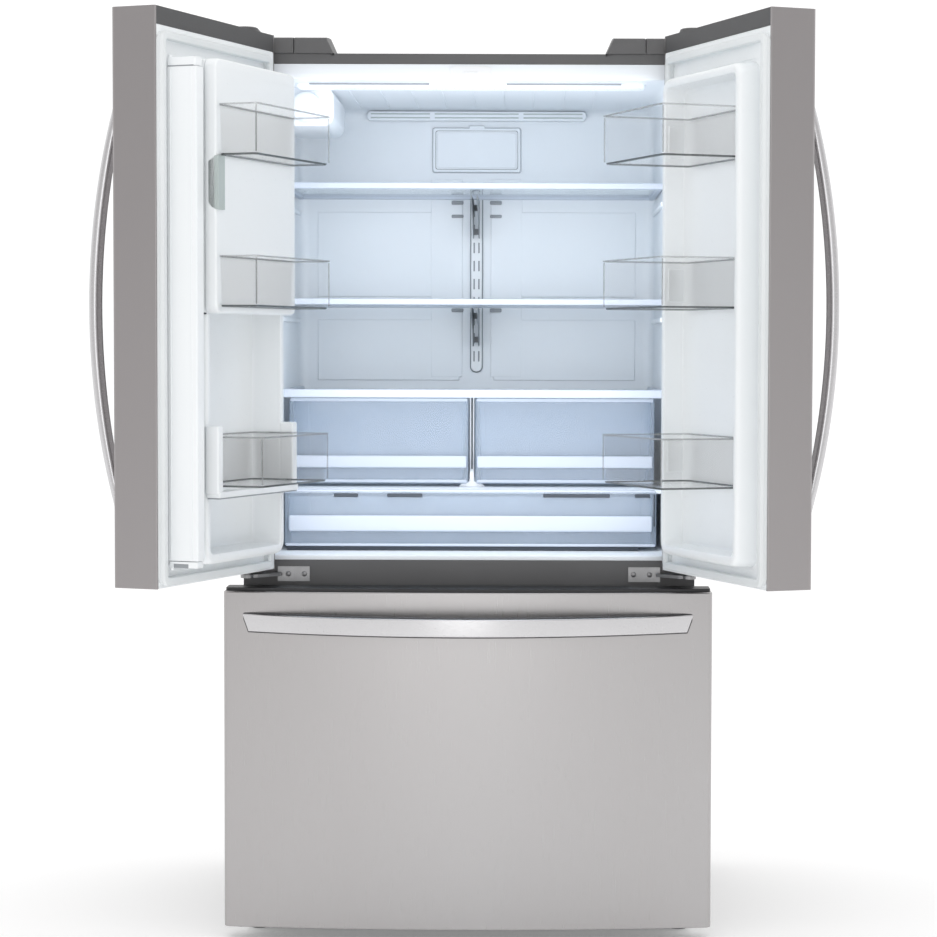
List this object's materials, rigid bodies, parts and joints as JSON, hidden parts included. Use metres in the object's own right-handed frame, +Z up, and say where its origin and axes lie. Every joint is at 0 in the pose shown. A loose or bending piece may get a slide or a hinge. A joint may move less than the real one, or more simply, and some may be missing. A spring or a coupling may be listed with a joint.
{
  "type": "french door refrigerator",
  "caption": "Bottom-freezer refrigerator with two hinged upper doors, door bins, glass shelves, clear drawers and a pull-out freezer drawer.",
  "frame": {"origin": "on the floor under the middle of the cabinet's front plane (the plane that the door gaskets seat on)", "axes": "+Z up; the doors and the drawer front face -Y; +X is to the right seen from the front"},
  "size_m": [1.3042, 1.1498, 1.694],
  "materials": {
    "stainless": "vertical grain brushed steel",
    "handle_steel": "polished satin steel",
    "case_paint": "textured charcoal paint",
    "frame_paint": "satin dark grey paint",
    "zinc_sheet": "galvanised sheet",
    "zinc_parts": "zinc plated",
    "trim_plastic": "dark grey plastic",
    "black_plastic": "fine texture",
    "liner_plastic": "smooth white plastic",
    "white_plastic": "white plastic",
    "foam": null,
    "gasket_vinyl": "soft vinyl",
    "clear_plastic": "clear plastic",
    "shelf_glass": "tempered glass in a white frame",
    "latch_plastic": "grey green plastic",
    "lamp_lens": "diffusing lens",
    "tyre_plastic": "hard black plastic",
    "black_steel": "black paint",
    "fins": "thin fins",
    "coil_paint": "black coated tube",
    "basket_wire": "white coated wire"
  },
  "bodies": {
    "cabinet": {"case_shell": "case_paint", "back_panel": "zinc_sheet", "side_insulation": "foam", "deck_insulation": "foam", "rear_insulation": "foam", "fridge_liner": "liner_plastic", "freezer_liner": "liner_plastic", "front_frame": "frame_paint", "base_frame": "black_steel", "leveling_legs": "black_plastic", "hinge_covers": "trim_plastic", "door_hinges": "zinc_parts", "hinge_screws": "zinc_parts", "upper_shelf": "shelf_glass", "middle_shelf": "shelf_glass", "crisper_cover": "shelf_glass", "shelf_rail": "white_plastic", "air_duct_panel": "white_plastic", "ceiling_lamp": "lamp_lens", "water_filter": "white_plastic", "compressor": "black_steel", "condenser": "coil_paint", "machine_cover": "black_plastic", "evaporator": "fins", "drawer_slides": "zinc_parts"},
    "rollers": {"rear_rollers": "tyre_plastic"},
    "fan": {"condenser_fan": "black_plastic"},
    "crisper_left": {"crisper_left": "clear_plastic"},
    "crisper_right": {"crisper_right": "clear_plastic"},
    "pantry": {"pantry_drawer": "clear_plastic"},
    "left_door": {"left_door_skin": "stainless", "left_door_core": "foam", "left_door_caps": "trim_plastic", "left_door_liner": "liner_plastic", "left_door_gasket": "gasket_vinyl", "left_handle": "handle_steel", "ice_housing": "liner_plastic", "ice_bucket": "clear_plastic", "left_lower_bin": "clear_plastic", "dispenser_panel": "black_plastic"},
    "ice_door": {"ice_door": "liner_plastic", "ice_door_bins": "clear_plastic"},
    "ice_latch": {"ice_latch": "latch_plastic"},
    "flap": {"mullion_flap": "white_plastic"},
    "paddle": {"dispenser_paddle": "black_plastic"},
    "right_door": {"right_door_skin": "stainless", "right_door_core": "foam", "right_door_caps": "trim_plastic", "right_door_liner": "liner_plastic", "right_door_gasket": "gasket_vinyl", "right_handle": "handle_steel", "right_door_bins": "clear_plastic"},
    "freezer_drawer": {"drawer_skin": "stainless", "drawer_core": "foam", "drawer_cap": "black_plastic", "drawer_gasket": "gasket_vinyl", "drawer_handle": "handle_steel", "freezer_basket": "basket_wire", "slide_runners": "zinc_parts"},
    "freezer_tray": {"freezer_tray": "clear_plastic"}
  },
  "joints": [
    {"name": "left_door_hinge", "type": "hinge", "parent": "cabinet", "child": "left_door", "pos_m": [-0.412, -0.056, 1.18], "axis": [0, 0, -1], "range_deg": [-111, 14]},
    {"name": "right_door_hinge", "type": "hinge", "parent": "cabinet", "child": "right_door", "pos_m": [0.412, -0.056, 1.18], "axis": [0, 0, 1], "range_deg": [-111, 14]},
    {"name": "flap_hinge", "type": "hinge", "parent": "left_door", "child": "flap", "pos_m": [-0.49719, -0.43489, 1.16], "axis": [0, 0, 1], "range_deg": [-90, 11.5]},
    {"name": "ice_door_hinge", "type": "hinge", "parent": "left_door", "child": "ice_door", "pos_m": [-0.32242, -0.14073, 1.38], "axis": [0, 0, 1], "range_deg": [0, 70]},
    {"name": "ice_latch_turn", "type": "hinge", "parent": "ice_door", "child": "ice_latch", "pos_m": [-0.41386, -0.40127, 1.39], "axis": [0, 0, 1], "range_deg": [0, 22], "stiffness_Nm_per_rad": 0.3},
    {"name": "dispenser_press", "type": "hinge", "parent": "left_door", "child": "paddle", "pos_m": [-0.45774, -0.15841, 1.218], "axis": [-0.3584, -0.9336, 0], "range_deg": [0, 5], "stiffness_Nm_per_rad": 0.6},
    {"name": "freezer_drawer_slide", "type": "slide", "parent": "cabinet", "child": "freezer_drawer", "axis": [0, -1, 0], "range_m": [0, 0.36]},
    {"name": "freezer_tray_slide", "type": "slide", "parent": "freezer_drawer", "child": "freezer_tray", "axis": [0, -1, 0], "range_m": [-0.12, 0]},
    {"name": "crisper_left_slide", "type": "slide", "parent": "cabinet", "child": "crisper_left", "axis": [0, -1, 0], "range_m": [0, 0.28]},
    {"name": "crisper_right_slide", "type": "slide", "parent": "cabinet", "child": "crisper_right", "axis": [0, -1, 0], "range_m": [0, 0.28]},
    {"name": "pantry_slide", "type": "slide", "parent": "cabinet", "child": "pantry", "axis": [0, -1, 0], "range_m": [0, 0.17]},
    {"name": "roller_spin", "type": "hinge", "parent": "cabinet", "child": "rollers", "pos_m": [0, 0.63, 0.024], "axis": [1, 0, 0], "continuous": true},
    {"name": "fan_spin", "type": "hinge", "parent": "cabinet", "child": "fan", "pos_m": [-0.07, 0.578, 0.17], "axis": [1, 0, 0], "continuous": true}
  ],
  "couplings": [
    {"joint": "flap_hinge", "follows": "left_door_hinge", "ratio": 0.81081}
  ]
}
